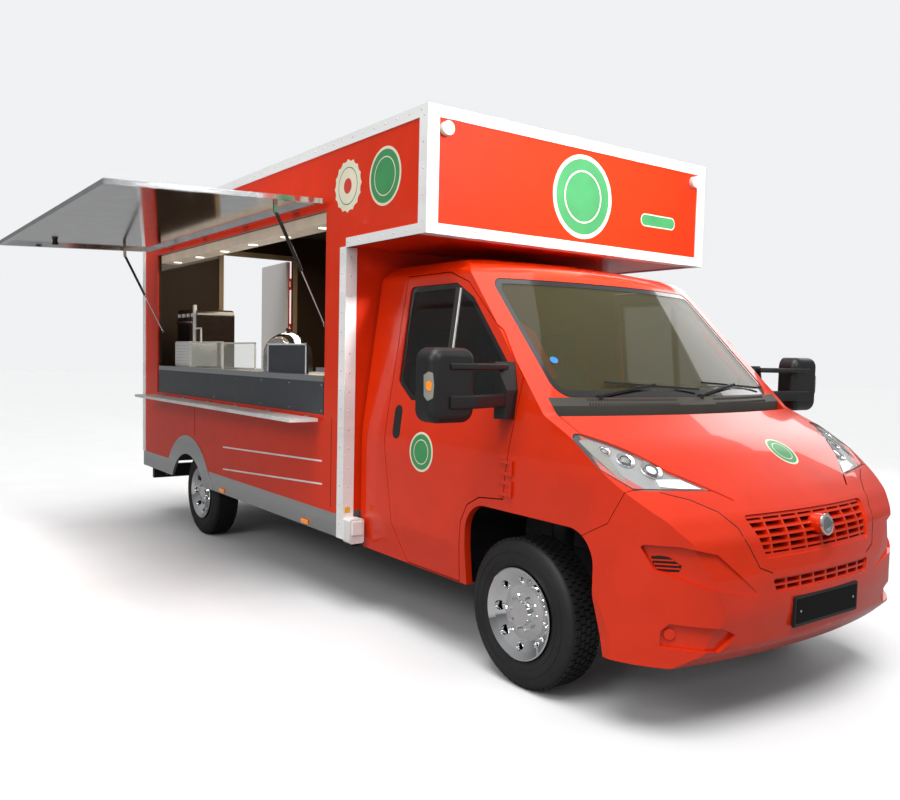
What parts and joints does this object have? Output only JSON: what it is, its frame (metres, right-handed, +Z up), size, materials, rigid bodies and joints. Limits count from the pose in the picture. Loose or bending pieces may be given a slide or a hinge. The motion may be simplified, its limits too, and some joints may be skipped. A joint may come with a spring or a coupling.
{
  "type": "food truck",
  "caption": "Food truck: van cab and chassis with a tall box body, a raised serving hatch on gas struts, a fold-down shelf, an open rear door and turning, steering wheels.",
  "frame": {"origin": "middle of the footprint, on the ground, with hatch, shelf and rear door open", "axes": "+X forward towards the nose, +Y to the truck's left, +Z up; the hatch opens towards -Y"},
  "size_m": [7.1617, 4.0368, 2.899],
  "materials": {
    "cab_paint": "gloss",
    "box_panel": "satin",
    "roof_panel": "satin",
    "aluminium_profile": "brushed",
    "white_paint": "satin",
    "glass": "clear",
    "lens": "clear",
    "black_plastic": "matte",
    "seat_fabric": "matte",
    "floor": "matte",
    "stainless": "brushed",
    "apron_sheet": "satin",
    "oven_paint": "satin",
    "engine": "matte",
    "chassis_steel": "satin",
    "strut_tube": "satin",
    "strut_rod": "polished",
    "tyre": "matte",
    "wheel_trim": "polished"
  },
  "bodies": {
    "truck": {"cab_shell": "cab_paint", "cowl": "black_plastic", "front_bumper": "cab_paint", "grille": "cab_paint", "headlamps": "lens", "windscreen": "glass", "cab_floor": "floor", "dashboard_and_wheel": "black_plastic", "seats": "seat_fabric", "engine_block": "engine", "wheel_liners": "black_plastic", "wipers": "black_plastic", "front_suspension": "chassis_steel", "rear_axle": "chassis_steel", "chassis_frame": "chassis_steel", "box_side_left": "box_panel", "box_side_right": "box_panel", "box_front": "box_panel", "box_roof": "roof_panel", "box_floor": "floor", "box_rear": "box_panel", "box_trims": "aluminium_profile", "skirts": "aluminium_profile", "counters": "stainless", "apron": "apron_sheet", "header_beam": "aluminium_profile", "oven": "oven_paint", "display_case": "glass", "warmer": "stainless", "menu_board": "white_paint", "lamps": "lens", "power_inlet": "white_paint", "rear_bumper": "chassis_steel"},
    "hatch": {"hatch": "aluminium_profile"},
    "strut_tube_front": {"strut_tube_front": "strut_tube"},
    "strut_tube_rear": {"strut_tube_rear": "strut_tube"},
    "strut_rod_front": {"strut_rod_front": "strut_rod"},
    "strut_rod_rear": {"strut_rod_rear": "strut_rod"},
    "shelf": {"shelf": "white_paint"},
    "rear_door": {"rear_door": "box_panel"},
    "bonnet": {"bonnet": "cab_paint"},
    "cab_door_right": {"cab_door_right": "cab_paint", "door_glass_right": "glass", "door_fittings_right": "black_plastic"},
    "knuckle_right": {"knuckle_right": "chassis_steel"},
    "wheel_front_right": {"tyre_front_right": "tyre", "rim_front_right": "wheel_trim"},
    "wheel_rear_right": {"tyre_rear_right": "tyre", "rim_rear_right": "wheel_trim"},
    "cab_door_left": {"cab_door_left": "cab_paint", "door_glass_left": "glass", "door_fittings_left": "black_plastic"},
    "knuckle_left": {"knuckle_left": "chassis_steel"},
    "wheel_front_left": {"tyre_front_left": "tyre", "rim_front_left": "wheel_trim"},
    "wheel_rear_left": {"tyre_rear_left": "tyre", "rim_rear_left": "wheel_trim"}
  },
  "joints": [
    {"name": "hatch_hinge", "type": "hinge", "parent": "truck", "child": "hatch", "pos_m": [-0.72832, -0.68864, 2.531], "axis": [1, 0, 0], "range_deg": [0, 87.6]},
    {"name": "strut_rear_turn", "type": "hinge", "parent": "hatch", "child": "strut_tube_rear", "pos_m": [-2.30132, -0.98578, 2.45649], "axis": [1, 0, 0], "range_deg": [-116.12, 0]},
    {"name": "strut_rear_slide", "type": "slide", "parent": "strut_tube_rear", "child": "strut_rod_rear", "axis": [0, -0.4597, 0.8881], "range_m": [0, 0.31066]},
    {"name": "strut_front_turn", "type": "hinge", "parent": "hatch", "child": "strut_tube_front", "pos_m": [0.84468, -0.98578, 2.45649], "axis": [1, 0, 0], "range_deg": [-116.12, 0]},
    {"name": "strut_front_slide", "type": "slide", "parent": "strut_tube_front", "child": "strut_rod_front", "axis": [0, -0.4597, 0.8881], "range_m": [0, 0.31066]},
    {"name": "shelf_hinge", "type": "hinge", "parent": "truck", "child": "shelf", "pos_m": [-0.73832, -0.68164, 1.179], "axis": [1, 0, 0], "range_deg": [0, 90]},
    {"name": "rear_door_hinge", "type": "hinge", "parent": "truck", "child": "rear_door", "pos_m": [-2.79332, 0.92836, 1.62], "axis": [0, 0, 1], "range_deg": [0, 95]},
    {"name": "cab_door_right_hinge", "type": "hinge", "parent": "truck", "child": "cab_door_right", "pos_m": [2.56668, -0.56264, 1.2], "axis": [0, 0, 1], "range_deg": [0, 68]},
    {"name": "steer_right", "type": "hinge", "parent": "truck", "child": "knuckle_right", "pos_m": [2.60668, -0.24164, 0.365], "axis": [0, 0, 1], "range_deg": [-35, 35]},
    {"name": "cab_door_left_hinge", "type": "hinge", "parent": "truck", "child": "cab_door_left", "pos_m": [2.56668, 1.50336, 1.2], "axis": [0, 0, -1], "range_deg": [0, 68]},
    {"name": "steer_left", "type": "hinge", "parent": "truck", "child": "knuckle_left", "pos_m": [2.60668, 1.18236, 0.365], "axis": [0, 0, 1], "range_deg": [-35, 35]},
    {"name": "bonnet_hinge", "type": "hinge", "parent": "truck", "child": "bonnet", "pos_m": [2.79772, 0.47036, 1.303], "axis": [0, -1, 0], "range_deg": [0, 45]},
    {"name": "wheel_front_right_spin", "type": "hinge", "parent": "knuckle_right", "child": "wheel_front_right", "pos_m": [2.60668, -0.42464, 0.365], "axis": [0, 1, 0], "continuous": true},
    {"name": "wheel_rear_right_spin", "type": "hinge", "parent": "truck", "child": "wheel_rear_right", "pos_m": [-1.49332, -0.45964, 0.365], "axis": [0, 1, 0], "continuous": true},
    {"name": "wheel_front_left_spin", "type": "hinge", "parent": "knuckle_left", "child": "wheel_front_left", "pos_m": [2.60668, 1.36536, 0.365], "axis": [0, 1, 0], "continuous": true},
    {"name": "wheel_rear_left_spin", "type": "hinge", "parent": "truck", "child": "wheel_rear_left", "pos_m": [-1.49332, 1.40036, 0.365], "axis": [0, 1, 0], "continuous": true}
  ],
  "couplings": [
    {"joint": "strut_rear_turn", "follows": "hatch_hinge", "ratio": -1.3254},
    {"joint": "strut_rear_slide", "follows": "hatch_hinge", "m_per_rad": 0.20318},
    {"joint": "strut_front_turn", "follows": "hatch_hinge", "ratio": -1.3254},
    {"joint": "strut_front_slide", "follows": "hatch_hinge", "m_per_rad": 0.20318},
    {"joint": "steer_left", "follows": "steer_right", "ratio": 1}
  ]
}
